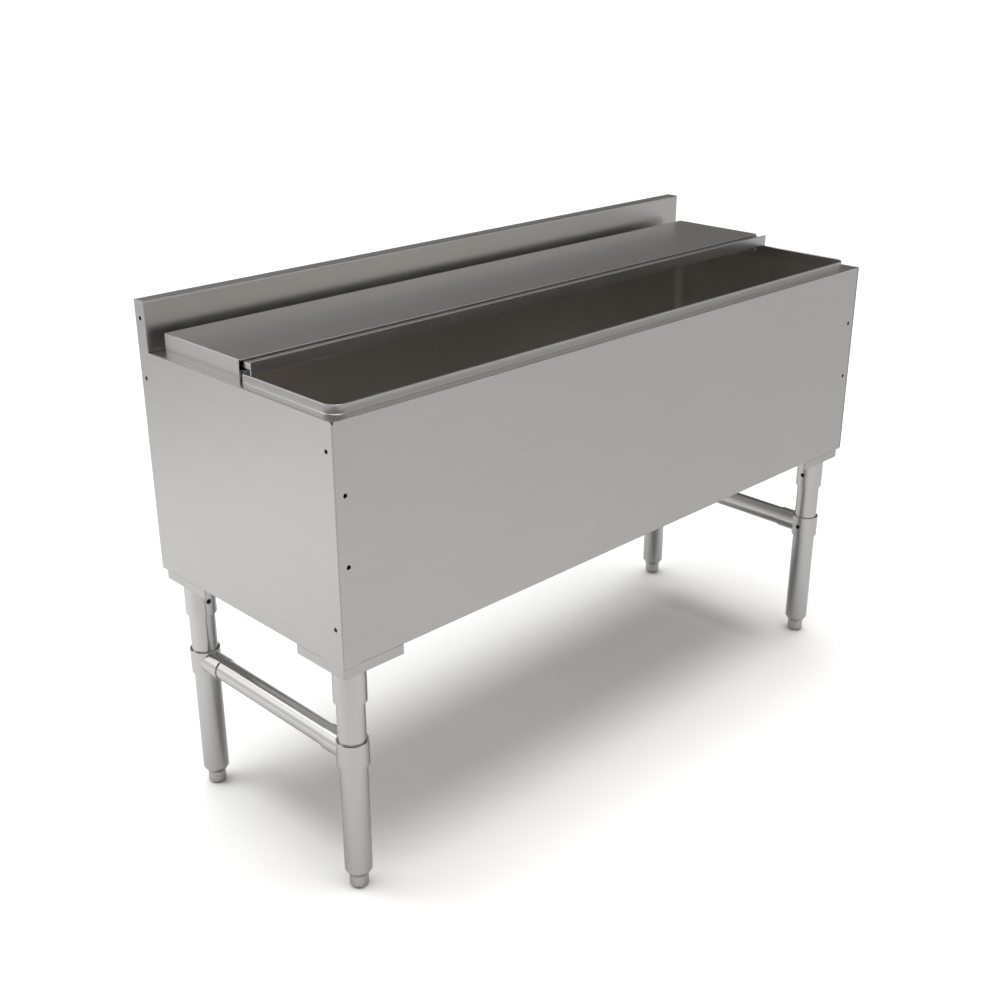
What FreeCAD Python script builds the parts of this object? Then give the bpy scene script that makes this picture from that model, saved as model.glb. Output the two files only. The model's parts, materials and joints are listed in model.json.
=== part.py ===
import FreeCAD, Part
import math
import os

# Underbar ice bin on four legs, with a fixed rear cover and a sliding front cover.
# Millimetres. X runs along the bin, -Y is the working side, Z is up, the floor is Z = 0.

# Casing
length = 1219.2
depth = 453.0
sheet = 1.2
bend_inside = 1.6
casing_bottom = 394.0
deck_height = 747.0
casing_flange = 25.0
side_return = 20.0
return_top_gap = 1.0
deck_flange = 20.0
corner_relief = 4.0
corner_tab_gap = 1.0
corner_tab_drop = 3.5
pan_gap = 2.8

# Backsplash
backsplash_rise = 76.4
backsplash_depth = 25.0
backsplash_foot = 14.0
backsplash_rear_lap = 40.0

# Accessory holes and the weld nuts behind them
accessory_hole_radius = 3.4
front_hole_inset = 17.6
front_hole_drop = 102.5
front_hole_spacing = 101.6
side_hole_inset = 12.6
side_hole_drop = 40.8
side_hole_rise = 58.2
upstand_hole_drop = 26.8
nut_flats = 10.0
nut_height = 4.5
nut_bore_radius = 2.6

# Ice tub and its raised rim
tub_end_inset = 20.6
tub_front_inset = 20.6
tub_rear_setback = 5.0
tub_corner_radius = 19.05
tub_cove_radius = 12.7
rim_height = 12.7
rim_width = 3.2
rim_top_radius = 1.3
rim_base_radius = 1.6
rim_cover_gap = 2.6

# Rear cover
cover_end_inset = 15.5
cover_depth = 186.9
cover_backsplash_gap = 24.0
cover_height = 32.2
cover_bend_inside = 1.2
cover_hem_depth = 10.0
cover_hem_height = 2.6

# Tracks under the rear cover
track_height = 16.0
track_width = 15.4
track_front_setback = 0.9
track_rear_gap = 2.0

# Sliding cover
slide_hem_gap = 0.8
slide_end_gap = 4.4
slide_track_gap = 2.5
slide_rear_gap = 1.8
slide_rear_drop = 13.0
runner_track_gap = 2.0
runner_floor_gap = 1.3
runner_reach = 8.6
lip_reach = 22.1
lip_end_setback = 3.6
lip_rise = 0.8
lip_rim_gap = 0.3
lip_thickness = 2.4

# Glides on the sliding cover
glide_clearance = 0.35
glide_tub_gap = 3.0
front_glide_setback = 3.5
front_glide_length = 14.0
rear_glide_length = 12.5
glide_edge_radius = 1.5
glide_screw_radius = 2.0
glide_screw_depth = 7.0
glide_screw_head_radius = 3.8
glide_screw_head = 2.2
glide_screw_head_round = 1.3

# Drain
recess_depth = 3.0
recess_top_radius = 60.0
recess_floor_radius = 42.0
drain_flange_radius = 38.0
drain_flange_height = 2.6
drain_body_radius = 17.8
drain_bore_radius = 13.3
tail_radius = 16.6
tail_top_drop = 4.0
tail_bottom_drop = 44.0
tail_chamfer = 1.2
strainer_radius = 27.0
strainer_thickness = 1.4
strainer_hole_radius = 2.5
strainer_inner_ring = 9.0
strainer_outer_ring = 18.5
gasket_radius = 30.0
gasket_height = 3.0
locknut_flats = 50.0
locknut_height = 10.0
drain_wrench_gap = 14.0

# Insulation
floor_insulation = 44.4
foam_top_gap = 7.0
foam_nut_gap = 1.4
foam_tub_gap = 0.5

# Legs
leg_radius = 20.65
leg_wall = 1.5
leg_inset = 34.4
gusset_size = 106.0
gusset_setback = 4.0
gusset_drop = 17.5
gusset_sheet = 2.5
gusset_corner_radius = 4.0
gusset_clip = 45.0
socket_wall = 3.3
socket_length = 73.5
socket_screw_rise = 25.0

# Cross rails
rail_height = 233.0
rail_radius = 17.45
rail_wall = 1.5
rail_end_gap = 5.7
collar_wall = 3.0
collar_height = 40.0
collar_chamfer = 0.5
collar_gap = 0.35
spigot_wall = 1.4
spigot_length = 24.0

# Feet
foot_height = 22.0
foot_radius = 14.25
foot_tip_radius = 11.2
foot_tip_height = 4.5
foot_chamfer = 0.8
stem_radius = 7.9
stem_length = 58.0
insert_neck = 11.0
insert_neck_radius = 15.2
insert_lip = 2.0
insert_plug = 25.0
insert_plug_gap = 0.45

# Set screws and running clearances
screw_radius = 3.7
screw_proud = 0.6
screw_key_flats = 3.6
screw_key_depth = 2.0
curved_gap = 0.35
thread_gap = 0.5

# Edges are picked by where they lie, to this tolerance
same_place = 0.01

# Casing and backsplash places
half_length = length / 2
half_depth = depth / 2
inner_x = half_length - sheet
inner_y = half_depth - sheet
bend_outside = bend_inside + sheet
pan_setback = bend_inside + pan_gap
pan_bottom = casing_bottom + sheet
pan_top = pan_bottom + sheet
backsplash_top = deck_height + backsplash_rise
backsplash_front = half_depth - backsplash_depth
back_panel_top = backsplash_top - backsplash_rear_lap
front_hole_x = half_length - front_hole_inset
front_hole_high = deck_height - front_hole_drop
front_hole_heights = [front_hole_high - front_hole_spacing, front_hole_high]
side_hole_y = half_depth - side_hole_inset
side_hole_high = deck_height - side_hole_drop
side_hole_heights = [casing_bottom + side_hole_rise, side_hole_high]
upstand_hole_height = backsplash_top - upstand_hole_drop

# Rear cover and track places
cover_x = half_length - cover_end_inset
cover_inner_x = cover_x - sheet
cover_rear = backsplash_front - cover_backsplash_gap
cover_front = cover_rear - cover_depth
cover_top = deck_height + cover_height
track_front = cover_front + track_front_setback
track_rear = cover_rear - sheet - track_rear_gap
track_top = deck_height + track_height
track_inner_x = cover_inner_x - track_width

# Tub and rim places
tub_x = half_length - tub_end_inset
tub_front = -half_depth + tub_front_inset
tub_rear = cover_rear - tub_rear_setback
tub_floor = pan_top + floor_insulation + sheet
rim_top = deck_height + rim_height
rim_end = cover_front - rim_cover_gap

# Sliding cover places
runner_x = track_inner_x - runner_track_gap
runner_bottom = deck_height + sheet + runner_floor_gap
runner_front = cover_front - runner_reach
slide_x = cover_inner_x - slide_end_gap
slide_top = cover_top - cover_hem_height - slide_hem_gap
slide_step = track_top + slide_track_gap
slide_rear = cover_rear - sheet - slide_rear_gap
lip_front = cover_front - lip_reach
lip_x = cover_x - lip_end_setback
lip_top = cover_top + lip_rise
lip_bottom = rim_top + lip_rim_gap
glide_x = tub_x - glide_tub_gap
glide_bottom = deck_height + sheet + glide_clearance
glide_top = track_top - sheet - glide_clearance
glide_middle = (glide_bottom + glide_top) / 2
glide_hole_radius = glide_screw_radius + curved_gap
front_glide_start = track_front + front_glide_setback
front_glide_end = front_glide_start + front_glide_length
rear_glide_start = slide_rear - rear_glide_length
glide_screw_places = [(front_glide_start + front_glide_end) / 2, (rear_glide_start + slide_rear) / 2]

# Drain and insulation places
drain_y = (tub_front + tub_rear) / 2
recess_floor = tub_floor - recess_depth
recess_underside = recess_floor - sheet
gasket_bottom = recess_underside - gasket_height
drain_hole_radius = drain_body_radius + thread_gap
drain_flange_top = recess_floor + drain_flange_height
strainer_base = drain_flange_top - strainer_thickness
tail_top = casing_bottom - tail_top_drop
tail_bottom = casing_bottom - tail_bottom_drop
drain_access_radius = max(gasket_radius, locknut_flats / math.sqrt(3)) + drain_wrench_gap
foam_top = deck_height - deck_flange - foam_top_gap
foam_x = half_length - 2 * sheet - nut_height - foam_nut_gap
foam_y = half_depth - sheet - nut_height - foam_nut_gap

# Leg, rail and foot places
gusset_x = half_length - gusset_setback
gusset_y = half_depth - gusset_setback
gusset_underside = casing_bottom - gusset_sheet
leg_x = gusset_x - leg_inset
leg_y = gusset_y - leg_inset
leg_bottom = foot_height + insert_neck
leg_bore_radius = leg_radius - leg_wall
screw_tip = leg_radius + curved_gap
socket_bore_radius = leg_radius + curved_gap
socket_radius = socket_bore_radius + socket_wall
socket_bottom = gusset_underside - socket_length
socket_screw_height = socket_bottom + socket_screw_rise
collar_bore_radius = leg_radius + collar_gap
collar_radius = collar_bore_radius + collar_wall
collar_bottom = rail_height - collar_height / 2
collar_top = rail_height + collar_height / 2
spigot_bore_radius = rail_radius + curved_gap
rail_seat = collar_radius + rail_end_gap
spigot_end = rail_seat + spigot_length
stem_bore_radius = stem_radius + thread_gap

X_AXIS = FreeCAD.Vector(1, 0, 0)
Y_AXIS = FreeCAD.Vector(0, 1, 0)
Z_AXIS = FreeCAD.Vector(0, 0, 1)
ORIGIN = FreeCAD.Vector(0, 0, 0)


def point(x, y, z):
    return FreeCAD.Vector(x, y, z)


def block(x_from, x_to, y_from, y_to, z_from, z_to):
    return Part.makeBox(x_to - x_from, y_to - y_from, z_to - z_from, point(x_from, y_from, z_from))


def rod(radius, start, end):
    run = end - start
    return Part.makeCylinder(radius, run.Length, start, run)


def pipe(outer, inner, start, end):
    return rod(outer, start, end).cut(rod(inner, start, end))


def turned(profile, x, y):
    # Solid of revolution about the upright line through x, y; profile points are radius, height.
    corners = [point(x + radius, y, height) for radius, height in profile]
    wire = Part.makePolygon(corners + [corners[0]])
    return Part.Face(wire).revolve(point(x, y, 0), Z_AXIS, 360)


def hexagon(flats, centre, run):
    corner_radius = flats / math.sqrt(3)
    corners = []
    for step in range(7):
        angle = math.radians(60 * step)
        corners.append(point(corner_radius * math.cos(angle), corner_radius * math.sin(angle), 0))
    face = Part.Face(Part.makePolygon(corners))
    face.Placement = FreeCAD.Placement(centre, FreeCAD.Rotation(Z_AXIS, run))
    return face.extrude(run)


def in_yz(a, b):
    return point(0, a, b)


def in_xz(a, b):
    return point(a, 0, b)


def in_xy(a, b):
    return point(a, b, 0)


def bent_sheet(corners, side, plane, inside):
    # Section of a folded sheet. The corners follow one skin, the other skin lies on the
    # left of the run (side = 1) or on its right (side = -1).
    points = [FreeCAD.Vector(a, b, 0) for a, b in corners]
    near = [[points[0]]]
    far = []
    first = (points[1] - points[0]).normalize()
    far.append([points[0] + FreeCAD.Vector(-first.y, first.x, 0) * side * sheet])
    for before, corner, after in zip(points, points[1:], points[2:]):
        arriving = (corner - before).normalize()
        leaving = (after - corner).normalize()
        turn = arriving.x * leaving.y - arriving.y * leaving.x
        hand = 1 if turn > 0 else -1
        angle = arriving.getAngle(leaving)
        closes = hand == side
        near_radius = inside + sheet if closes else inside
        far_radius = inside if closes else inside + sheet
        reach = near_radius * math.tan(angle / 2)
        start = corner - arriving * reach
        end = corner + leaving * reach
        centre = start + FreeCAD.Vector(-arriving.y, arriving.x, 0) * hand * near_radius
        outward = (corner - centre).normalize()
        near.append([start, centre + outward * near_radius, end])
        ratio = far_radius / near_radius
        far_start = centre + (start - centre) * ratio
        far_end = centre + (end - centre) * ratio
        far.append([far_start, centre + outward * far_radius, far_end])
    last = (points[-1] - points[-2]).normalize()
    near.append([points[-1]])
    far.append([points[-1] + FreeCAD.Vector(-last.y, last.x, 0) * side * sheet])
    far = [list(reversed(stop)) for stop in reversed(far)]
    stops = near + far
    edges = []
    for stop, following in zip(stops, stops[1:] + stops[:1]):
        if len(stop) == 3:
            curve = [plane(spot.x, spot.y) for spot in stop]
            edges.append(Part.Arc(*curve).toShape())
        edges.append(Part.makeLine(plane(stop[-1].x, stop[-1].y), plane(following[0].x, following[0].y)))
    return Part.Face(Part.Wire(edges))


def folded_along_x(corners, side, x_from, x_to, inside=bend_inside):
    face = bent_sheet(corners, side, in_yz, inside)
    face.translate(X_AXIS * x_from)
    return face.extrude(X_AXIS * (x_to - x_from))


def folded_along_y(corners, side, y_from, y_to, inside=bend_inside):
    face = bent_sheet(corners, side, in_xz, inside)
    face.translate(Y_AXIS * y_from)
    return face.extrude(Y_AXIS * (y_to - y_from))


def folded_along_z(corners, side, z_from, z_to, inside=bend_inside):
    face = bent_sheet(corners, side, in_xy, inside)
    face.translate(Z_AXIS * z_from)
    return face.extrude(Z_AXIS * (z_to - z_from))


def edges_where(shape, test):
    return [edge for edge in shape.Edges if test(edge.BoundBox)]


def is_upright(box):
    return box.XLength < same_place and box.YLength < same_place


def rounded_block(x_half, y_from, y_to, z_from, z_to, corner, cove):
    # Block with rounded upright corners and a coved lower edge.
    body = block(-x_half, x_half, y_from, y_to, z_from, z_to)
    body = body.makeFillet(corner, edges_where(body, is_upright))
    return body.makeFillet(cove, edges_where(body, lambda box: abs(box.ZMax - z_from) < same_place))


def mirror_x(shape):
    return shape.mirror(ORIGIN, X_AXIS)


def mirror_y(shape):
    return shape.mirror(ORIGIN, Y_AXIS)


def placed(shape, x_sign, y_sign):
    # Copies a shape drawn at the right rear to any of the four corners.
    if x_sign < 0:
        shape = mirror_x(shape)
    if y_sign < 0:
        shape = mirror_y(shape)
    return shape


def save(name, shape):
    shape.exportStep("parts/" + name + ".step")


def long_panel(top, hole_heights):
    # Front or back sheet with a bottom flange and a return at each end, drawn at the back.
    # Beside the deck's flanges the returns narrow to tabs, which stop short of the top edge.
    return_top = deck_height - deck_flange - return_top_gap
    tab_top = top - corner_tab_drop
    tab_reach = sheet + corner_relief - corner_tab_gap
    flange_x = inner_x - casing_flange - corner_relief
    panel = block(-inner_x + bend_outside, inner_x - bend_outside, inner_y, half_depth, return_top, top)
    for reach, z_from, z_to in ((side_return, casing_bottom, return_top), (tab_reach, return_top, tab_top)):
        wrap = [(inner_x, half_depth - reach), (inner_x, half_depth),
                (-inner_x, half_depth), (-inner_x, half_depth - reach)]
        panel = panel.fuse(folded_along_z(wrap, 1, z_from, z_to))
    panel = panel.cut(block(-flange_x, flange_x, inner_y, half_depth,
                            casing_bottom, casing_bottom + bend_outside))
    turned_in = [(half_depth, casing_bottom + bend_outside + sheet), (half_depth, casing_bottom),
                 (half_depth - casing_flange, casing_bottom)]
    panel = panel.fuse(folded_along_x(turned_in, -1, -flange_x, flange_x))
    for x_sign in (-1, 1):
        for height in hole_heights:
            panel = panel.cut(rod(accessory_hole_radius, point(x_sign * half_length, side_hole_y, height),
                                  point(x_sign * (half_length - side_return), side_hole_y, height)))
    return panel.removeSplitter()


def front_sheet():
    panel = mirror_y(long_panel(deck_height, side_hole_heights))
    for x_sign in (-1, 1):
        for height in front_hole_heights:
            spot = point(x_sign * front_hole_x, -half_depth, height)
            panel = panel.cut(rod(accessory_hole_radius, spot, spot + Y_AXIS * side_return))
    return panel


def side_sheet():
    # Right side: an L-shaped sheet whose upstand closes the end of the backsplash.
    outline = [point(inner_x, -half_depth, casing_bottom), point(inner_x, half_depth, casing_bottom),
               point(inner_x, half_depth, backsplash_top), point(inner_x, backsplash_front, backsplash_top),
               point(inner_x, backsplash_front, deck_height), point(inner_x, -half_depth, deck_height)]
    panel = Part.Face(Part.makePolygon(outline + [outline[0]])).extrude(X_AXIS * sheet)
    flange_y = half_depth - casing_flange - corner_relief
    panel = panel.cut(block(inner_x, half_length, -flange_y, flange_y,
                            casing_bottom, casing_bottom + bend_outside))
    turned_in = [(half_length, casing_bottom + bend_outside + sheet), (half_length, casing_bottom),
                 (half_length - casing_flange, casing_bottom)]
    panel = panel.fuse(folded_along_y(turned_in, -1, -flange_y, flange_y))
    spots = [(-side_hole_y, height) for height in side_hole_heights]
    spots += [(side_hole_y, side_hole_high), (side_hole_y, upstand_hole_height)]
    for y, height in spots:
        panel = panel.cut(rod(accessory_hole_radius, point(inner_x - sheet, y, height),
                              point(half_length + sheet, y, height)))
    return panel.removeSplitter()


def backsplash_sheet():
    section = [(backsplash_front + backsplash_foot, deck_height), (backsplash_front, deck_height),
               (backsplash_front, backsplash_top), (half_depth, backsplash_top),
               (half_depth, back_panel_top)]
    return folded_along_x(section, -1, -inner_x, inner_x)


def bottom_sheet():
    pan = block(-inner_x + pan_setback, inner_x - pan_setback,
                -inner_y + pan_setback, inner_y - pan_setback, pan_bottom, pan_top)
    return pan.cut(rod(drain_access_radius, point(0, drain_y, pan_bottom), point(0, drain_y, pan_top)))


def rim_section():
    # Radius is measured from the inner face of the tub wall, height from the deck.
    base = deck_height - sheet
    crown = rim_top - rim_top_radius
    slant = math.sqrt(0.5)
    foot = rim_width + rim_base_radius
    corners = {
        "inner_low": point(0, 0, base),
        "inner_high": point(0, 0, crown),
        "inner_crown": point(rim_top_radius * (1 - slant), 0, crown + rim_top_radius * slant),
        "top_inner": point(rim_top_radius, 0, rim_top),
        "top_outer": point(rim_width - rim_top_radius, 0, rim_top),
        "outer_crown": point(rim_width - rim_top_radius * (1 - slant), 0, crown + rim_top_radius * slant),
        "outer_high": point(rim_width, 0, crown),
        "outer_low": point(rim_width, 0, deck_height + rim_base_radius),
        "cove": point(foot - rim_base_radius * slant, 0, deck_height + rim_base_radius * (1 - slant)),
        "deck_top": point(foot, 0, deck_height),
        "deck_low": point(foot, 0, base),
    }
    edges = [
        Part.makeLine(corners["inner_low"], corners["inner_high"]),
        Part.Arc(corners["inner_high"], corners["inner_crown"], corners["top_inner"]).toShape(),
        Part.makeLine(corners["top_inner"], corners["top_outer"]),
        Part.Arc(corners["top_outer"], corners["outer_crown"], corners["outer_high"]).toShape(),
        Part.makeLine(corners["outer_high"], corners["outer_low"]),
        Part.Arc(corners["outer_low"], corners["cove"], corners["deck_top"]).toShape(),
        Part.makeLine(corners["deck_top"], corners["deck_low"]),
        Part.makeLine(corners["deck_low"], corners["inner_low"]),
    ]
    return Part.Face(Part.Wire(edges))


def raised_rim():
    # Runs from one end of the rear cover, round both front corners, to the other end.
    section = rim_section()
    corner_x = tub_x - tub_corner_radius
    corner_y = tub_front + tub_corner_radius
    side = section.copy()
    side.translate(point(tub_x, corner_y, 0))
    straight = side.extrude(Y_AXIS * (rim_end - corner_y))
    bow = side.revolve(point(corner_x, corner_y, 0), Z_AXIS, -90)
    right = straight.fuse(bow)
    front = section.copy()
    front.rotate(ORIGIN, Z_AXIS, -90)
    front.translate(point(-corner_x, tub_front, 0))
    return front.extrude(X_AXIS * corner_x * 2).fuse([right, mirror_x(right)])


def tub():
    # Deck, raised rim, coved tub and drain recess, welded into one liner.
    outside = rounded_block(tub_x + sheet, tub_front - sheet, tub_rear + sheet, tub_floor - sheet,
                            deck_height, tub_corner_radius + sheet, tub_cove_radius + sheet)
    inside = rounded_block(tub_x, tub_front, tub_rear, tub_floor, rim_top + rim_height,
                           tub_corner_radius, tub_cove_radius)
    across = [(-inner_y, deck_height - deck_flange), (-inner_y, deck_height),
              (inner_y, deck_height), (inner_y, deck_height - deck_flange)]
    along = [(-inner_x, deck_height - deck_flange), (-inner_x, deck_height),
             (inner_x, deck_height), (inner_x, deck_height - deck_flange)]
    deck = folded_along_x(across, -1, -inner_x + corner_relief, inner_x - corner_relief)
    deck = deck.fuse(folded_along_y(along, -1, -inner_y + corner_relief, inner_y - corner_relief))
    liner = deck.fuse(outside).cut(inside)
    liner = liner.fuse(raised_rim())
    liner = liner.cut(rod(recess_top_radius, point(0, drain_y, tub_floor - 2 * sheet),
                          point(0, drain_y, tub_floor + sheet)))
    dish = turned([(recess_top_radius + sheet, tub_floor), (recess_top_radius, tub_floor),
                   (recess_floor_radius, recess_floor), (drain_hole_radius, recess_floor),
                   (drain_hole_radius, recess_underside), (recess_floor_radius, recess_underside),
                   (recess_top_radius, tub_floor - sheet), (recess_top_radius + sheet, tub_floor - sheet)],
                  0, drain_y)
    return liner.fuse(dish).removeSplitter()


def foam():
    body = block(-foam_x, foam_x, -foam_y, foam_y, pan_top, foam_top)
    margin = sheet + foam_tub_gap
    hollow = rounded_block(tub_x + margin, tub_front - margin, tub_rear + margin, tub_floor - margin,
                           deck_height, tub_corner_radius + margin, tub_cove_radius + margin)
    dish_bottom = recess_underside - foam_tub_gap
    dish_radius = recess_top_radius + margin
    dish = turned([(0, dish_bottom), (recess_floor_radius, dish_bottom),
                   (dish_radius, tub_floor - margin), (dish_radius, tub_floor), (0, tub_floor)], 0, drain_y)
    drain_way = rod(drain_access_radius, point(0, drain_y, pan_top), point(0, drain_y, tub_floor))
    return body.cut([hollow, dish, drain_way])


def fixed_cover():
    hem_radius = cover_hem_height / 2
    hem_front = cover_front + hem_radius
    hem_rear = cover_front + cover_hem_depth
    hem_middle = cover_top - hem_radius
    top = [(-cover_x, deck_height), (-cover_x, cover_top), (cover_x, cover_top), (cover_x, deck_height)]
    cover = folded_along_y(top, -1, hem_front, cover_rear, cover_bend_inside)
    rear_bend = sheet + cover_bend_inside
    rear_x = cover_x - rear_bend
    cover = cover.cut(block(-rear_x, rear_x, cover_rear - rear_bend, cover_rear,
                            cover_top - rear_bend, cover_top))
    drop = [(cover_rear, deck_height), (cover_rear, cover_top), (cover_rear - rear_bend - sheet, cover_top)]
    cover = cover.fuse(folded_along_x(drop, 1, -rear_x, rear_x, cover_bend_inside))
    hem = block(-rear_x, rear_x, hem_front, hem_rear, cover_top - cover_hem_height, cover_top)
    roll = rod(hem_radius, point(-rear_x, hem_front, hem_middle), point(rear_x, hem_front, hem_middle))
    return cover.fuse([hem, roll]).removeSplitter()


def track():
    section = [(track_inner_x, deck_height), (cover_inner_x, deck_height),
               (cover_inner_x, track_top), (track_inner_x, track_top)]
    return folded_along_y(section, 1, track_front, track_rear)


def moving_cover():
    # The edges step in over the tracks and drop to runners that carry the glides.
    lip_radius = lip_thickness / 2
    lip_middle = lip_front + lip_radius
    edge = [(-runner_x, runner_bottom), (-runner_x, slide_step),
            (-slide_x, slide_step), (-slide_x, slide_top),
            (slide_x, slide_top), (slide_x, slide_step),
            (runner_x, slide_step), (runner_x, runner_bottom)]
    cover = folded_along_y(edge, -1, lip_middle, slide_rear)
    cover = cover.cut(block(-slide_x, slide_x, lip_middle, runner_front, runner_bottom, slide_step))
    rear_x = runner_x - bend_outside
    cover = cover.cut(block(-rear_x, rear_x, slide_rear - bend_outside, slide_rear,
                            slide_top - bend_outside, slide_top))
    rear_drop = [(slide_rear - bend_outside - sheet, slide_top), (slide_rear, slide_top),
                 (slide_rear, slide_top - slide_rear_drop)]
    cover = cover.fuse(folded_along_x(rear_drop, -1, -rear_x, rear_x))
    lip_ends = (lip_bottom + lip_radius, lip_top - lip_radius)
    lip = block(-lip_x, lip_x, lip_front, lip_front + lip_thickness, *lip_ends)
    for height in lip_ends:
        lip = lip.fuse(rod(lip_radius, point(-lip_x, lip_middle, height), point(lip_x, lip_middle, height)))
    cover = cover.fuse(lip)
    for x_sign in (-1, 1):
        for y in glide_screw_places:
            hole = rod(glide_hole_radius, point(x_sign * (runner_x - 2 * sheet), y, glide_middle),
                       point(x_sign * (runner_x + sheet), y, glide_middle))
            cover = cover.cut(hole)
    return cover.removeSplitter()


def glide(y_from, y_to):
    body = block(runner_x, glide_x, y_from, y_to, glide_bottom, glide_top)
    outer = edges_where(body, lambda box: is_upright(box) and abs(box.XMax - glide_x) < same_place)
    body = body.makeFillet(glide_edge_radius, outer)
    mouth = point(runner_x, (y_from + y_to) / 2, glide_middle)
    return body.cut(rod(glide_hole_radius, mouth, mouth + X_AXIS * (glide_screw_depth + curved_gap)))


def glide_screw(y):
    seat = point(runner_x - sheet, y, glide_middle)
    shank = rod(glide_screw_radius, seat, seat + X_AXIS * (sheet + glide_screw_depth))
    head = rod(glide_screw_head_radius, seat - X_AXIS * glide_screw_head, seat)
    face_x = seat.x - glide_screw_head
    rim = edges_where(head, lambda box: abs(box.XMax - face_x) < same_place)
    return head.makeFillet(glide_screw_head_round, rim).fuse(shank)


def drain_body():
    # Flanged fitting: a thick stretch for the locknut above, a plain hose tail below.
    flange_round = drain_flange_height / 2
    seat_radius = strainer_radius + curved_gap
    profile = [(drain_bore_radius, tail_bottom), (tail_radius - tail_chamfer, tail_bottom),
               (tail_radius, tail_bottom + tail_chamfer), (tail_radius, tail_top),
               (drain_body_radius, tail_top), (drain_body_radius, recess_floor),
               (drain_flange_radius, recess_floor), (drain_flange_radius, recess_floor + flange_round),
               (drain_flange_radius - flange_round, drain_flange_top), (seat_radius, drain_flange_top),
               (seat_radius, strainer_base), (drain_bore_radius, strainer_base)]
    return turned(profile, 0, drain_y)


def strainer():
    plate = rod(strainer_radius, point(0, drain_y, strainer_base), point(0, drain_y, drain_flange_top))
    rings = [(0, 1), (strainer_inner_ring, 6), (strainer_outer_ring, 12)]
    for ring_radius, count in rings:
        for step in range(count):
            angle = 2 * math.pi * step / count
            x = ring_radius * math.cos(angle)
            y = drain_y + ring_radius * math.sin(angle)
            spot = point(x, y, strainer_base)
            plate = plate.cut(rod(strainer_hole_radius, spot, spot + Z_AXIS * strainer_thickness))
    return plate


def gasket():
    return pipe(gasket_radius, drain_hole_radius, point(0, drain_y, gasket_bottom),
                point(0, drain_y, recess_underside))


def locknut():
    base = point(0, drain_y, gasket_bottom - locknut_height)
    bore = rod(drain_body_radius + curved_gap, base, base + Z_AXIS * locknut_height)
    return hexagon(locknut_flats, base, Z_AXIS * locknut_height).cut(bore)


def gusset_cap(wall, radius):
    # Block with its two outer sides and its top drawn in by the wall, and their shared edges rounded.
    x_edge = gusset_x - wall
    y_edge = gusset_y - wall
    top = casing_bottom - wall
    body = block(gusset_x - gusset_size, x_edge, gusset_y - gusset_size, y_edge,
                 casing_bottom - gusset_drop, top)

    def joins_two_skins(box):
        on_end = box.XMin > x_edge - same_place
        on_side = box.YMin > y_edge - same_place
        on_top = box.ZMin > top - same_place
        return on_end + on_side + on_top >= 2

    return body.makeFillet(radius, edges_where(body, joins_two_skins))


def gusset():
    # Pressed corner cap that carries a leg, with its inner corner clipped off.
    inner_round = gusset_corner_radius - gusset_sheet
    shell = gusset_cap(0, gusset_corner_radius).cut(gusset_cap(gusset_sheet, inner_round))
    corner = point(gusset_x - gusset_size, gusset_y - gusset_size, casing_bottom - gusset_drop)
    clip = [corner, corner + X_AXIS * gusset_clip, corner + Y_AXIS * gusset_clip, corner]
    return shell.cut(Part.Face(Part.makePolygon(clip)).extrude(Z_AXIS * gusset_drop))


def set_screw(axis, direction, outer_radius):
    tip = axis + direction * screw_tip
    end = axis + direction * (outer_radius + screw_proud)
    return rod(screw_radius, tip, end).cut(hexagon(screw_key_flats, end, direction * -screw_key_depth))


def screw_way(axis, direction, outer_radius):
    return rod(screw_radius + curved_gap, axis, axis + direction * (outer_radius + sheet))


def collar():
    # Ring round the leg with a short socket for the cross rail, drawn at the right rear.
    bore_out = collar_bore_radius + collar_chamfer
    ring = turned([(collar_bore_radius, collar_bottom + collar_chamfer), (bore_out, collar_bottom),
                   (collar_radius, collar_bottom), (collar_radius, collar_top), (bore_out, collar_top),
                   (collar_bore_radius, collar_top - collar_chamfer)], leg_x, leg_y)
    axis = point(leg_x, leg_y, rail_height)
    spigot = rod(spigot_bore_radius + spigot_wall, axis, axis - Y_AXIS * spigot_end)
    leg_way = rod(collar_bore_radius, point(leg_x, leg_y, collar_bottom), point(leg_x, leg_y, collar_top))
    rail_way = rod(spigot_bore_radius, axis - Y_AXIS * rail_seat, axis - Y_AXIS * spigot_end)
    fitting = ring.fuse(spigot.cut(leg_way)).cut(rail_way)
    return fitting.cut(screw_way(axis, X_AXIS * -1, collar_radius)).removeSplitter()


def foot_insert():
    plug_radius = leg_bore_radius - insert_plug_gap
    plug_top = leg_bottom + insert_plug
    return turned([(stem_bore_radius, foot_height), (insert_neck_radius, foot_height),
                   (leg_radius, leg_bottom - insert_lip), (leg_radius, leg_bottom), (plug_radius, leg_bottom),
                   (plug_radius, plug_top), (stem_bore_radius, plug_top)], leg_x, leg_y)


def foot():
    stem_top = foot_height + stem_length
    return turned([(0, 0), (foot_tip_radius, 0), (foot_radius - foot_chamfer, foot_tip_height / 2),
                   (foot_radius, foot_tip_height), (foot_radius, foot_height - foot_chamfer),
                   (foot_radius - foot_chamfer, foot_height), (stem_radius, foot_height),
                   (stem_radius, stem_top - foot_chamfer), (stem_radius - foot_chamfer, stem_top),
                   (0, stem_top)], leg_x, leg_y)


def weld_nuts():
    nuts = []
    for x_sign in (-1, 1):
        for height in front_hole_heights:
            seat = point(x_sign * front_hole_x, -inner_y, height)
            nuts.append((seat, Y_AXIS))
        inward = X_AXIS * -x_sign
        return_x = x_sign * (inner_x - sheet)
        for height in side_hole_heights:
            nuts.append((point(return_x, -side_hole_y, height), inward))
        nuts.append((point(return_x, side_hole_y, side_hole_high), inward))
    solids = []
    for seat, run in nuts:
        end = seat + run * nut_height
        solids.append(hexagon(nut_flats, seat, run * nut_height).cut(rod(nut_bore_radius, seat, end)))
    return Part.makeCompound(solids)


os.makedirs("parts", exist_ok=True)

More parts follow.
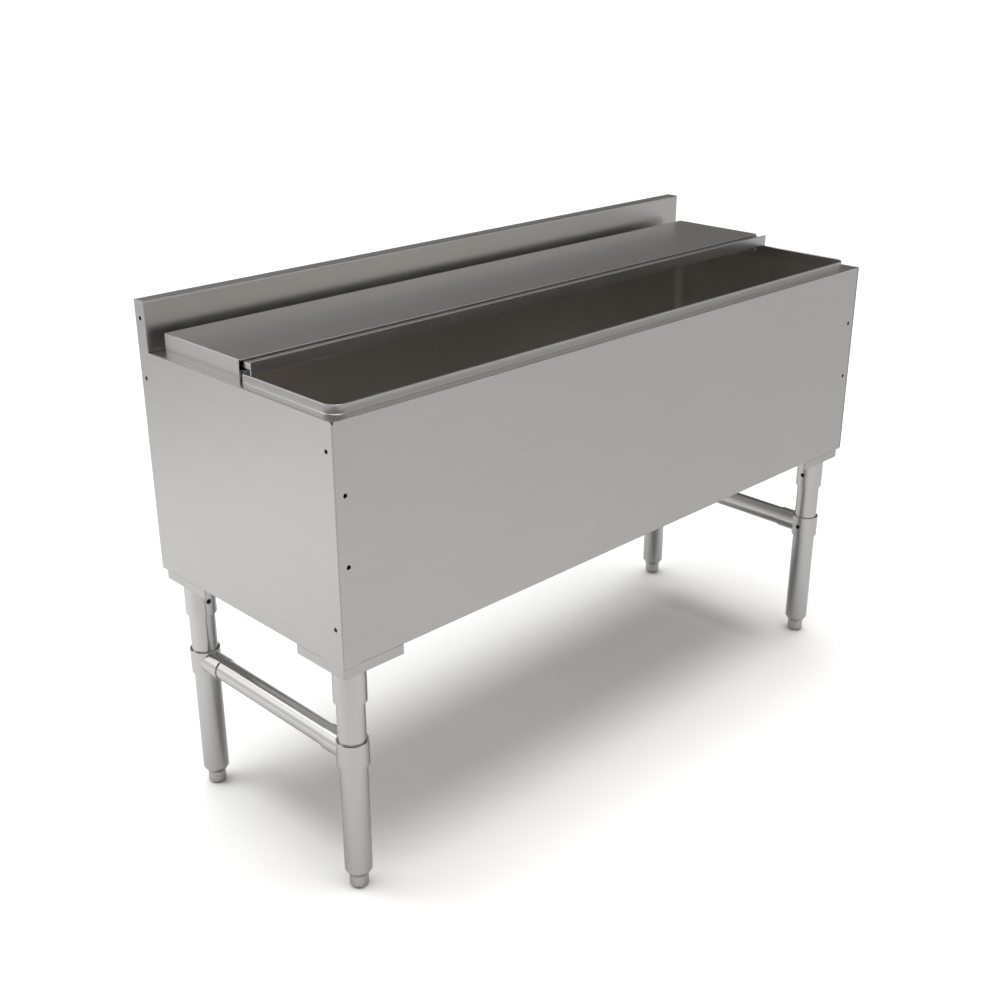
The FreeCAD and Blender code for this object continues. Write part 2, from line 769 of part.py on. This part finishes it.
save("front_panel", front_sheet())
save("back_panel", long_panel(back_panel_top, [side_hole_high]))
right_side = side_sheet()
save("right_side_panel", right_side)
save("left_side_panel", mirror_x(right_side))
save("backsplash", backsplash_sheet())
save("bottom_pan", bottom_sheet())
save("ice_tub", tub())
save("insulation", foam())
save("panel_weld_nuts", weld_nuts())

save("rear_cover", fixed_cover())
right_track = track()
save("right_track", right_track)
save("left_track", mirror_x(right_track))
save("sliding_cover", moving_cover())
front_glide = glide(front_glide_start, front_glide_end)
rear_glide = glide(rear_glide_start, slide_rear)
save("right_front_glide", front_glide)
save("left_front_glide", mirror_x(front_glide))
save("right_rear_glide", rear_glide)
save("left_rear_glide", mirror_x(rear_glide))
glide_screws = [glide_screw(y) for y in glide_screw_places]
save("glide_screws", Part.makeCompound(glide_screws + [mirror_x(screw) for screw in glide_screws]))

save("drain_body", drain_body())
save("drain_strainer", strainer())
save("drain_gasket", gasket())
save("drain_locknut", locknut())

corner_cap = gusset()
rail_collar = collar()
tube = pipe(leg_radius, leg_bore_radius, point(leg_x, leg_y, leg_bottom),
            point(leg_x, leg_y, gusset_underside))
insert = foot_insert()
bullet = foot()
socket_screws = []
collar_screws = []
for x_sign, x_name in ((-1, "left"), (1, "right")):
    inward = X_AXIS * -x_sign
    axis_x = x_sign * leg_x
    for y_sign, y_name in ((-1, "front"), (1, "rear")):
        corner_name = "_" + x_name + "_" + y_name
        axis_y = y_sign * leg_y
        socket = pipe(socket_radius, socket_bore_radius, point(axis_x, axis_y, socket_bottom),
                      point(axis_x, axis_y, gusset_underside))
        socket_axis = point(axis_x, axis_y, socket_screw_height)
        socket_side = inward if y_sign < 0 else Y_AXIS * -1
        save("leg_socket" + corner_name, socket.cut(screw_way(socket_axis, socket_side, socket_radius)))
        save("gusset" + corner_name, placed(corner_cap, x_sign, y_sign))
        save("leg_tube" + corner_name, placed(tube, x_sign, y_sign))
        save("rail_collar" + corner_name, placed(rail_collar, x_sign, y_sign))
        save("foot_insert" + corner_name, placed(insert, x_sign, y_sign))
        save("foot" + corner_name, placed(bullet, x_sign, y_sign))
        socket_screws.append(set_screw(socket_axis, socket_side, socket_radius))
        collar_screws.append(set_screw(point(axis_x, axis_y, rail_height), inward, collar_radius))
    rail_end = leg_y - rail_seat
    rail = pipe(rail_radius, rail_radius - rail_wall, point(axis_x, -rail_end, rail_height),
                point(axis_x, rail_end, rail_height))
    save("cross_rail_" + x_name, rail)
save("socket_set_screws", Part.makeCompound(socket_screws))
save("collar_set_screws", Part.makeCompound(collar_screws))
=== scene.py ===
import json
import math

import bpy
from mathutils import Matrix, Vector

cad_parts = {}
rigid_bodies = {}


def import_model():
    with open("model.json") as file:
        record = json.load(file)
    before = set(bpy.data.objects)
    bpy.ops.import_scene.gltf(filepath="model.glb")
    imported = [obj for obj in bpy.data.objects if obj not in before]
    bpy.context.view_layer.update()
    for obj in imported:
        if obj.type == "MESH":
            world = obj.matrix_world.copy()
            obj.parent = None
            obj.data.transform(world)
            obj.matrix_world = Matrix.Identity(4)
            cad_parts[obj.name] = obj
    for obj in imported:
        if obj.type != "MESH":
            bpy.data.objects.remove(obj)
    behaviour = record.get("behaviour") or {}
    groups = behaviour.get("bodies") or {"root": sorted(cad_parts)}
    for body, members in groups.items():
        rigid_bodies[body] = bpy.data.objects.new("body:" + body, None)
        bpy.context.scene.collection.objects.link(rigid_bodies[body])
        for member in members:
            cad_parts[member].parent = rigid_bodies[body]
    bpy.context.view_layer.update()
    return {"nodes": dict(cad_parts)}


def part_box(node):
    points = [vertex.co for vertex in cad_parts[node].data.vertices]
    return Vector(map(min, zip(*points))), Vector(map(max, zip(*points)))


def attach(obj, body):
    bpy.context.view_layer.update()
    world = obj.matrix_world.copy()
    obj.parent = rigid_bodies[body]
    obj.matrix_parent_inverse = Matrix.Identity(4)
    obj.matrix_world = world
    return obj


# Looks of the underbar ice bin: brushed stainless sheet and tube, nylon glides, soft studio light.
# Metres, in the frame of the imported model: X along the bin, -Y the working side, Z up.

# Camera, from the straight edges in the photograph
CAMERA_PLACE = (-1.55184, -1.48201, 1.29914)
CAMERA_PITCH = 67.168
CAMERA_TURN = -44.583
CAMERA_LENS = 47.86
CAMERA_SENSOR = 36.0
CAMERA_REACH = 200.0

# White floor: its shade to the camera, in the metal, and for the light that it throws back
FLOOR_HALF_SIZE = 60.0
FLOOR_SEEN = 1.0
FLOOR_MIRRORED = 0.52
FLOOR_BOUNCE = 0.6

# White backdrop, even light on the floor, and the grey room that metal mirrors
BACKDROP_LEVEL = 1.0
AMBIENT_LEVEL = 0.18
HORIZON_LEVEL = 0.58
HORIZON_TOP = 0.02
WALL_LEVEL = 0.25
WALL_BOTTOM = 0.12
WALL_TOP = 0.30
CEILING_LEVEL = 0.09
CEILING_BOTTOM = 0.75
RIGHT_START = 0.45
RIGHT_END = 0.85
RIGHT_SHARE = 0.55
REAR_START = 0.5
FRONT_START = -0.5
REAR_COLOUR = (1.0, 1.0, 1.0)
FRONT_COLOUR = (1.0, 0.975, 0.94)

# Soft lights of the room: direction, level and sharpness
ROOM_LIGHTS = {
    "overhead": ((0.0, 0.0, 1.0), 4.3, 18.0),
    "left_rear": ((-0.55, 0.70, 0.46), 1.1, 14.0),
    "front_right": ((0.62, -0.66, 0.42), 0.6, 14.0),
    "rear_high": ((-0.18, 0.62, 0.76), 2.2, 60.0),
}

# Lamps that light the floor: one broad lamp far overhead, and soft boxes that hang over a spot
OVERHEAD_PLACE = (0.0, 0.0, 3.0)
OVERHEAD_POWER = 2.9
OVERHEAD_SPREAD = 48.0
OVERHEAD_TILT = (-1.5, 1.5, 0.0)
SOFT_BOX_SIZE = 1.2
WHITE_LIGHT = (1.0, 1.0, 1.0)
WARM_LIGHT = (1.0, 0.88, 0.77)
SOFT_BOXES = {
    "left_floor_box": ((-1.45, 0.98, 1.1), 12.0, WHITE_LIGHT),
    "front_floor_box": ((0.0, -1.15, 1.1), 3.8, WARM_LIGHT),
    "right_floor_box": ((2.3, 1.0, 1.1), 6.0, WHITE_LIGHT),
    "rear_floor_box": ((0.4, 2.3, 1.1), 7.0, WHITE_LIGHT),
}

# Most noise values lie between these two
NOISE_LOW = 0.3
NOISE_HIGH = 0.7

# Colours and roughness of the steel
SHEET_COLOUR = (0.62, 0.61, 0.598)
TUB_PAINTED_LIGHT_COLOUR = (0.77, 0.74, 0.71)
TUBE_COLOUR = (0.70, 0.688, 0.672)
FITTING_COLOUR = (0.68, 0.665, 0.65)
SHEET_ROUGHNESS = 0.31
RAIL_ROUGHNESS = 0.18
UPRIGHT_ROUGHNESS = 0.20

# Brush lines and bundles of strokes on the steel, in repeats per metre along and across the grain
GRAIN_ALONG = 25.0
GRAIN_ACROSS = 2400.0
GRAIN_DETAIL = 1.0
GRAIN_DEPTH = 0.000015
GRAIN_STRENGTH = 0.35
GRAIN_ROUGHNESS = 0.02
BUNDLE_ALONG = 6.0
BUNDLE_ACROSS = 220.0
BUNDLE_DETAIL = 3.0
BUNDLE_TONE = 0.03
BUNDLE_SHARE = 0.6
STROKE_CONTRAST = 0.65
CLOUD_SCALE = 4.0
CLOUD_DETAIL = 3.0
CLOUD_SHARE = 0.4
CLOUD_ROUGHNESS = 0.01

# Worn edges with a painted highlight: the polish of wear and the painted highlight are full where the
# rounded normal leaves the face by this cosine
EDGE_RADIUS = 0.0009
EDGE_SAMPLES = 4
EDGE_COSINE = 0.86
EDGE_PAINTED_HIGHLIGHT = 1.25
EDGE_POLISH = 0.06

# Inside of the tub, painted brighter from this far below the top of the rim: painted light for the
# dim inside of the deep tub
TUB_PAINTED_LIGHT_DROP = 0.0147
TUB_PAINTED_LIGHT_FADE = 0.010

# Speckled finishes: colour, roughness, metallic, specks per metre and their depth
# The near black of set screws and weld nuts is partly their black oxide and partly painted shade for
# the dark holes and sockets.
BLACK_OXIDE_AND_HOLE_SHADE = ((0.03, 0.03, 0.032), 0.42, 0.7, 1500.0, 0.00002)
WHITE_NYLON = ((0.82, 0.82, 0.80), 0.45, 0.0, 900.0, 0.00003)
RIGID_FOAM = ((0.80, 0.70, 0.45), 0.85, 0.0, 300.0, 0.0004)
GASKET_RUBBER = ((0.02, 0.02, 0.02), 0.6, 0.0, 700.0, 0.00005)
SPECK_DETAIL = 4.0
SPECK_CONTRAST = 0.6
SPECK_LOW = 0.25
SPECK_HIGH = 0.75
SPECK_ROUGHNESS = 0.08
SPECK_STRENGTH = 0.4
SPECKS_PER_PATCH = 20
PATCH_DETAIL = 2.0
PATCH_SHADE = 0.86

# Thread on the stem of each foot, which ends short of the foot's underside and top
STEM_ROOT = 0.0078
STEM_CREST = 0.0082
STEM_BOTTOM_GAP = 0.0235
STEM_TOP_GAP = 0.002
THREAD_PITCH = 0.002
THREAD_HALF_WIDTH = 0.0008
THREAD_SIDES = 24


def clear_scene():
    for item in list(bpy.data.objects):
        bpy.data.objects.remove(item)


def add_object(name, data):
    made = bpy.data.objects.new(name, data)
    bpy.context.scene.collection.objects.link(made)
    return made


def node(tree, kind, **settings):
    made = tree.nodes.new(kind)
    for name, value in settings.items():
        setattr(made, name, value)
    return made


def link(tree, source, target):
    tree.links.new(source, target)


def new_material(name):
    material = bpy.data.materials.new(name)
    material.use_nodes = True
    tree = material.node_tree
    return material, tree, tree.nodes["Principled BSDF"]


def object_coordinates(tree):
    return node(tree, "ShaderNodeTexCoord").outputs["Object"]


def noise(tree, coordinates, scale, detail, contrast=0.5):
    made = node(tree, "ShaderNodeTexNoise")
    made.inputs["Scale"].default_value = scale
    made.inputs["Detail"].default_value = detail
    made.inputs["Roughness"].default_value = contrast
    link(tree, coordinates, made.inputs["Vector"])
    return made.outputs["Fac"]


def along_grain(tree, coordinates, grain, along, across, detail):
    # Noise drawn out along one axis: 0, 1 or 2.
    scale = [across] * 3
    scale[grain] = along
    stretch = node(tree, "ShaderNodeMapping")
    stretch.inputs["Scale"].default_value = scale
    link(tree, coordinates, stretch.inputs["Vector"])
    return noise(tree, stretch.outputs["Vector"], 1.0, detail, STROKE_CONTRAST)


def spread(tree, value, low, high, out_low, out_high):
    made = node(tree, "ShaderNodeMapRange")
    made.inputs["From Min"].default_value = low
    made.inputs["From Max"].default_value = high
    made.inputs["To Min"].default_value = out_low
    made.inputs["To Max"].default_value = out_high
    link(tree, value, made.inputs["Value"])
    return made.outputs["Result"]


def spread_noise(tree, value, out_low, out_high):
    return spread(tree, value, NOISE_LOW, NOISE_HIGH, out_low, out_high)


def arithmetic(tree, operation, first, second):
    made = node(tree, "ShaderNodeMath", operation=operation)
    for socket, value in zip(made.inputs, (first, second)):
        if isinstance(value, (int, float)):
            socket.default_value = value
        else:
            link(tree, value, socket)
    return made.outputs["Value"]


def mixed_colour(tree, share, first, second):
    made = node(tree, "ShaderNodeMix", data_type="RGBA")
    link(tree, share, made.inputs["Factor"])
    for socket, value in ((made.inputs["A"], first), (made.inputs["B"], second)):
        if isinstance(value, tuple):
            socket.default_value = (*value, 1.0)
        else:
            link(tree, value, socket)
    return made.outputs["Result"]


def shaded(colour, factor):
    return tuple(min(1.0, channel * factor) for channel in colour)


def bumped(tree, height, strength, depth):
    made = node(tree, "ShaderNodeBump")
    made.inputs["Strength"].default_value = strength
    made.inputs["Distance"].default_value = depth
    link(tree, height, made.inputs["Height"])
    return made


def worn_and_highlighted_edges(tree):
    # Rounds the shading of sharp edges, and gives 1 on an edge and 0 on a flat face: the share of the
    # wear polish and of the painted highlight.
    bevel = node(tree, "ShaderNodeBevel", samples=EDGE_SAMPLES)
    bevel.inputs["Radius"].default_value = EDGE_RADIUS
    face = node(tree, "ShaderNodeNewGeometry")
    compare = node(tree, "ShaderNodeVectorMath", operation="DOT_PRODUCT")
    link(tree, bevel.outputs["Normal"], compare.inputs[0])
    link(tree, face.outputs["Normal"], compare.inputs[1])
    share = spread(tree, compare.outputs["Value"], 1.0, EDGE_COSINE, 0.0, 1.0)
    return bevel.outputs["Normal"], share


def tub_painted_light_mask(tree, coordinates):
    # Gives 1 below the deck and 0 on the deck and the rim: it marks where the tub's inside is painted
    # lighter, as painted light.
    rim_top = max(corner[2] for corner in nodes["ice_tub"].bound_box)
    painted_light_top = rim_top - TUB_PAINTED_LIGHT_DROP
    split = node(tree, "ShaderNodeSeparateXYZ")
    link(tree, coordinates, split.inputs["Vector"])
    return spread(tree, split.outputs["Z"], painted_light_top - TUB_PAINTED_LIGHT_FADE, painted_light_top, 1.0, 0.0)


def brushed_steel(name, grain, colour, roughness, inside_painted_light=None):
    # Fine brush lines show in gloss and height, and the bundles that they lie in differ in tone.
    # Grain is the axis that they follow: 0, 1 or 2.
    material, tree, shader = new_material(name)
    coordinates = object_coordinates(tree)
    streaks = along_grain(tree, coordinates, grain, GRAIN_ALONG, GRAIN_ACROSS, GRAIN_DETAIL)
    bundles = along_grain(tree, coordinates, grain, BUNDLE_ALONG, BUNDLE_ACROSS, BUNDLE_DETAIL)
    clouds = noise(tree, coordinates, CLOUD_SCALE, CLOUD_DETAIL)
    edge_normal, edge_wear_and_highlight = worn_and_highlighted_edges(tree)

    dark = shaded(colour, 1.0 - BUNDLE_TONE)
    light = shaded(colour, 1.0 + BUNDLE_TONE)
    # Edges are painted brighter: a painted highlight, beside the real polish of wear in the
    # roughness.
    edge_highlight_colour = shaded(colour, EDGE_PAINTED_HIGHLIGHT)
    bundle_tone = arithmetic(tree, "MULTIPLY", bundles, BUNDLE_SHARE)
    cloud_tone = arithmetic(tree, "MULTIPLY", clouds, CLOUD_SHARE)
    tone = arithmetic(tree, "ADD", bundle_tone, cloud_tone)
    brushed = mixed_colour(tree, spread_noise(tree, tone, 0.0, 1.0), dark, light)
    # Below the deck the colour is painted lighter: painted light for the dim inside of the tub.
    if inside_painted_light:
        brushed = mixed_colour(tree, tub_painted_light_mask(tree, coordinates), brushed, inside_painted_light)
    link(tree, mixed_colour(tree, edge_wear_and_highlight, brushed, edge_highlight_colour), shader.inputs["Base Color"])

    grained = spread_noise(tree, streaks, roughness - GRAIN_ROUGHNESS, roughness + GRAIN_ROUGHNESS)
    cloud_roughness = spread_noise(tree, clouds, -CLOUD_ROUGHNESS, CLOUD_ROUGHNESS)
    clouded = arithmetic(tree, "ADD", grained, cloud_roughness)
    polish = arithmetic(tree, "MULTIPLY", edge_wear_and_highlight, EDGE_POLISH)
    link(tree, arithmetic(tree, "SUBTRACT", clouded, polish), shader.inputs["Roughness"])

    bump = bumped(tree, streaks, GRAIN_STRENGTH, GRAIN_DEPTH)
    link(tree, edge_normal, bump.inputs["Normal"])
    link(tree, bump.outputs["Normal"], shader.inputs["Normal"])
    shader.inputs["Metallic"].default_value = 1.0
    return material


def speckled(name, finish):
    # Nylon, rubber, foam and black screws: a fine mottle in colour, gloss and height.
    colour, roughness, metallic, speck_scale, speck_depth = finish
    material, tree, shader = new_material(name)
    coordinates = object_coordinates(tree)
    specks = noise(tree, coordinates, speck_scale, SPECK_DETAIL, SPECK_CONTRAST)
    patches = noise(tree, coordinates, speck_scale / SPECKS_PER_PATCH, PATCH_DETAIL)
    dark = shaded(colour, PATCH_SHADE)
    mottled = mixed_colour(tree, spread_noise(tree, patches, 0.0, 1.0), dark, colour)
    link(tree, mottled, shader.inputs["Base Color"])
    smooth = roughness - SPECK_ROUGHNESS
    rough = roughness + SPECK_ROUGHNESS
    link(tree, spread(tree, specks, SPECK_LOW, SPECK_HIGH, smooth, rough), shader.inputs["Roughness"])
    bump = bumped(tree, specks, SPECK_STRENGTH, speck_depth)
    link(tree, bump.outputs["Normal"], shader.inputs["Normal"])
    shader.inputs["Metallic"].default_value = metallic
    return material


def dress(names, material):
    for name in names:
        mesh = nodes[name].data
        mesh.materials.clear()
        mesh.materials.append(material)


def dress_nodes():
    along_x = ["front_panel", "back_panel", "backsplash", "bottom_pan", "rear_cover", "sliding_cover"]
    along_y = ["left_side_panel", "right_side_panel", "left_track", "right_track"]
    rails = ["cross_rail_left", "cross_rail_right"]
    fittings = ["drain_body", "drain_strainer", "drain_locknut", "glide_screws"]
    # Set screws and weld nuts are made near black: black oxide, and painted shade for their dark
    # holes and sockets.
    blackened_with_hole_shade = ["panel_weld_nuts", "socket_set_screws", "collar_set_screws"]
    glides = [name for name in nodes if name.endswith("_glide")]
    gussets = [name for name in nodes if name.startswith("gusset")]
    dress(along_x, brushed_steel("sheet_along_x", 0, SHEET_COLOUR, SHEET_ROUGHNESS))
    # The tub's inside is painted lighter than its deck and rim: painted light.
    dress(["ice_tub"], brushed_steel("drawn_sheet_painted_light_inside", 0, SHEET_COLOUR, SHEET_ROUGHNESS, TUB_PAINTED_LIGHT_COLOUR))
    dress(along_y, brushed_steel("sheet_along_y", 1, SHEET_COLOUR, SHEET_ROUGHNESS))
    dress(gussets, brushed_steel("pressed_sheet", 0, SHEET_COLOUR, SHEET_ROUGHNESS))
    dress(rails, brushed_steel("tube_along_y", 1, TUBE_COLOUR, RAIL_ROUGHNESS))
    dress(fittings, brushed_steel("turned_steel", 2, FITTING_COLOUR, SHEET_ROUGHNESS))
    dress(blackened_with_hole_shade, speckled("black_oxide_and_hole_shade", BLACK_OXIDE_AND_HOLE_SHADE))
    dress(glides, speckled("white_nylon", WHITE_NYLON))
    dress(["insulation"], speckled("rigid_foam", RIGID_FOAM))
    dress(["drain_gasket"], speckled("gasket_rubber", GASKET_RUBBER))
    dressed = set(along_x + along_y + rails + fittings + blackened_with_hole_shade + glides + gussets)
    dressed.update(["ice_tub", "insulation", "drain_gasket"])
    uprights = [name for name in nodes if name not in dressed]
    dress(uprights, brushed_steel("tube_along_z", 2, TUBE_COLOUR, UPRIGHT_ROUGHNESS))


def stem_thread(foot_name, material):
    # One turn after another of a low ridge, wound round the stem that lifts the leg off its foot.
    low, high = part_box(foot_name)
    centre_x = (low[0] + high[0]) / 2
    centre_y = (low[1] + high[1]) / 2
    bottom = low[2] + STEM_BOTTOM_GAP
    height = high[2] - STEM_TOP_GAP - bottom
    steps = int(height / THREAD_PITCH * THREAD_SIDES)
    ridge = [(STEM_ROOT, -THREAD_HALF_WIDTH), (STEM_CREST, 0.0), (STEM_ROOT, THREAD_HALF_WIDTH)]
    sides = len(ridge)
    points = []
    faces = []
    for step in range(steps + 1):
        angle = 2 * math.pi * step / THREAD_SIDES
        rise = bottom + THREAD_PITCH * step / THREAD_SIDES
        for radius, offset in ridge:
            point_x = centre_x + radius * math.cos(angle)
            point_y = centre_y + radius * math.sin(angle)
            points.append((point_x, point_y, rise + offset))
        if step < steps:
            here = step * sides
            for edge in range(sides):
                after = (edge + 1) % sides
                faces.append((here + edge, here + edge + sides, here + after + sides, here + after))
    last = steps * sides
    faces += [(0, 1, 2), (last + 2, last + 1, last)]
    mesh = bpy.data.meshes.new(foot_name + "_thread")
    mesh.from_pydata(points, [], faces)
    mesh.materials.append(material)
    piece = add_object(foot_name + "_thread", mesh)
    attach(piece, foot_name + "_body")


def thread_feet():
    steel = brushed_steel("thread_steel", 2, FITTING_COLOUR, SHEET_ROUGHNESS)
    for name in nodes:
        if name.startswith("foot_") and not name.startswith("foot_insert"):
            stem_thread(name, steel)


def grey_diffuse(tree, level):
    made = node(tree, "ShaderNodeBsdfDiffuse")
    made.inputs["Color"].default_value = (level, level, level, 1.0)
    return made.outputs["BSDF"]


def mixed_shader(tree, share, first, second):
    made = node(tree, "ShaderNodeMixShader")
    for socket, source in zip(made.inputs, (share, first, second)):
        link(tree, source, socket)
    return made.outputs["Shader"]


def white_floor():
    size = FLOOR_HALF_SIZE
    corners = [(-size, -size, 0), (size, -size, 0), (size, size, 0), (-size, size, 0)]
    mesh = bpy.data.meshes.new("studio_floor")
    mesh.from_pydata(corners, [], [(0, 1, 2, 3)])
    floor = add_object("studio_floor", mesh)
    material = bpy.data.materials.new("white_floor")
    material.use_nodes = True
    tree = material.node_tree
    tree.nodes.clear()
    output = node(tree, "ShaderNodeOutputMaterial")
    rays = node(tree, "ShaderNodeLightPath").outputs
    bounce = grey_diffuse(tree, FLOOR_BOUNCE)
    mirrored = grey_diffuse(tree, FLOOR_MIRRORED)
    seen = grey_diffuse(tree, FLOOR_SEEN)
    unseen = mixed_shader(tree, rays["Is Glossy Ray"], bounce, mirrored)
    link(tree, mixed_shader(tree, rays["Is Camera Ray"], unseen, seen), output.inputs["Surface"])
    mesh.materials.append(material)


def studio_world():
    # Metal mirrors a grey room with broad soft lights, and the camera sees a white backdrop.
    # The room darkens upward and to the right, and is warm towards the front.
    # Only mirrored rays find it, so the world isn't sampled as a lamp.
    world = bpy.data.worlds.new("studio")
    bpy.context.scene.world = world
    world.use_nodes = True
    world.cycles.sampling_method = "NONE"
    tree = world.node_tree
    background = tree.nodes["Background"]
    rays = node(tree, "ShaderNodeLightPath").outputs
    direction = node(tree, "ShaderNodeTexCoord").outputs["Generated"]
    split = node(tree, "ShaderNodeSeparateXYZ")
    link(tree, direction, split.inputs["Vector"])
    height = split.outputs["Z"]
    low = spread(tree, height, HORIZON_TOP, WALL_BOTTOM, HORIZON_LEVEL, WALL_LEVEL)
    high = spread(tree, height, WALL_TOP, CEILING_BOTTOM, 0.0, CEILING_LEVEL - WALL_LEVEL)
    shade = spread(tree, split.outputs["X"], RIGHT_START, RIGHT_END, 1.0, RIGHT_SHARE)
    room = arithmetic(tree, "MULTIPLY", arithmetic(tree, "ADD", low, high), shade)
    for aim, level, sharpness in ROOM_LIGHTS.values():
        facing = node(tree, "ShaderNodeVectorMath", operation="DOT_PRODUCT")
        link(tree, direction, facing.inputs[0])
        facing.inputs[1].default_value = Vector(aim).normalized()
        towards = arithmetic(tree, "MAXIMUM", facing.outputs["Value"], 0.0)
        glow = arithmetic(tree, "POWER", towards, sharpness)
        room = arithmetic(tree, "ADD", room, arithmetic(tree, "MULTIPLY", glow, level))

    glossy = rays["Is Glossy Ray"]
    plain = spread(tree, rays["Is Camera Ray"], 0.0, 1.0, AMBIENT_LEVEL, BACKDROP_LEVEL)
    unmirrored = arithmetic(tree, "MULTIPLY", plain, arithmetic(tree, "SUBTRACT", 1.0, glossy))
    mirrored = arithmetic(tree, "MULTIPLY", room, glossy)
    link(tree, arithmetic(tree, "ADD", mirrored, unmirrored), background.inputs["Strength"])
    frontness = spread(tree, split.outputs["Y"], REAR_START, FRONT_START, 0.0, 1.0)
    warmth = arithmetic(tree, "MULTIPLY", frontness, glossy)
    link(tree, mixed_colour(tree, warmth, REAR_COLOUR, FRONT_COLOUR), background.inputs["Color"])


def downward_lamp(name, kind, place, power):
    # A new lamp shines straight down. Metal doesn't show it: metal shows the room.
    data = bpy.data.lights.new(name, kind)
    data.energy = power
    lamp = add_object(name, data)
    lamp.location = place
    lamp.visible_camera = False
    lamp.visible_glossy = False
    return lamp


def floor_lamps():
    overhead = downward_lamp("overhead", "SUN", OVERHEAD_PLACE, OVERHEAD_POWER)
    overhead.data.angle = math.radians(OVERHEAD_SPREAD)
    overhead.rotation_euler = [math.radians(tilt) for tilt in OVERHEAD_TILT]
    for name, (place, power, colour) in SOFT_BOXES.items():
        soft_box = downward_lamp(name, "AREA", place, power)
        soft_box.data.color = colour
        soft_box.data.size = SOFT_BOX_SIZE


def photo_camera():
    data = bpy.data.cameras.new("photo_camera")
    data.lens = CAMERA_LENS
    data.sensor_width = CAMERA_SENSOR
    data.clip_end = CAMERA_REACH
    camera = add_object("photo_camera", data)
    camera.location = CAMERA_PLACE
    camera.rotation_euler = (math.radians(CAMERA_PITCH), 0.0, math.radians(CAMERA_TURN))
    bpy.context.scene.camera = camera


clear_scene()
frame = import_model()
nodes = frame["nodes"]

dress_nodes()
thread_feet()
white_floor()
studio_world()
floor_lamps()
photo_camera()
bpy.context.scene.view_settings.view_transform = "Standard"
